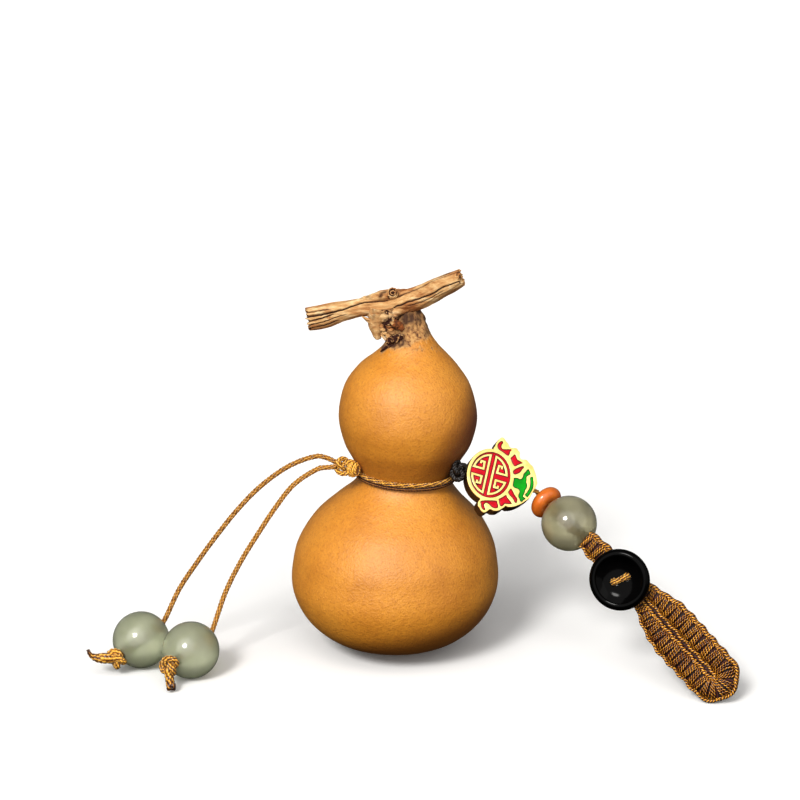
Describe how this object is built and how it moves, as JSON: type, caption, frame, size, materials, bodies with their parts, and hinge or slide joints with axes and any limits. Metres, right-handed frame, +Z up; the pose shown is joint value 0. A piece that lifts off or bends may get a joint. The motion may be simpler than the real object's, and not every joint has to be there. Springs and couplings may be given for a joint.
{
  "type": "dried bottle gourd",
  "caption": "Small dried bottle gourd standing on its base, with its vine across the stalk, a cord round the waist, beaded tails and a strap with a plate, beads, button and knotted loop.",
  "frame": {"origin": "middle of the small flat spot that the gourd stands on", "axes": "+Z up through the waist and the stalk, +X to the right towards the strap, -Y the front"},
  "size_m": [0.1376, 0.0553, 0.086],
  "materials": {
    "gourd": "polished dry skin",
    "cord": "golden twisted cord",
    "dark_cord": "dark waxed cord",
    "jade": "polished, milky",
    "gilt": "gilt, with fired enamel in its cells",
    "coral": "gloss",
    "black": "polished"
  },
  "bodies": {
    "root": {"gourd": "gourd", "waist_cord_upper": "cord", "waist_cord_lower": "dark_cord", "tail_knot": "cord", "tail_cord_back": "cord", "tail_cord_front": "cord", "tail_bead_back": "jade", "tail_bead_front": "jade", "end_knot_back": "cord", "end_knot_front": "cord", "strap_knot": "dark_cord", "strap_cord": "cord", "charm_plate": "gilt", "rondelle": "coral", "strap_bead": "jade", "strap_braid": "cord", "button": "black", "button_stitch": "cord", "loop_braid": "cord"}
  },
  "joints": []
}
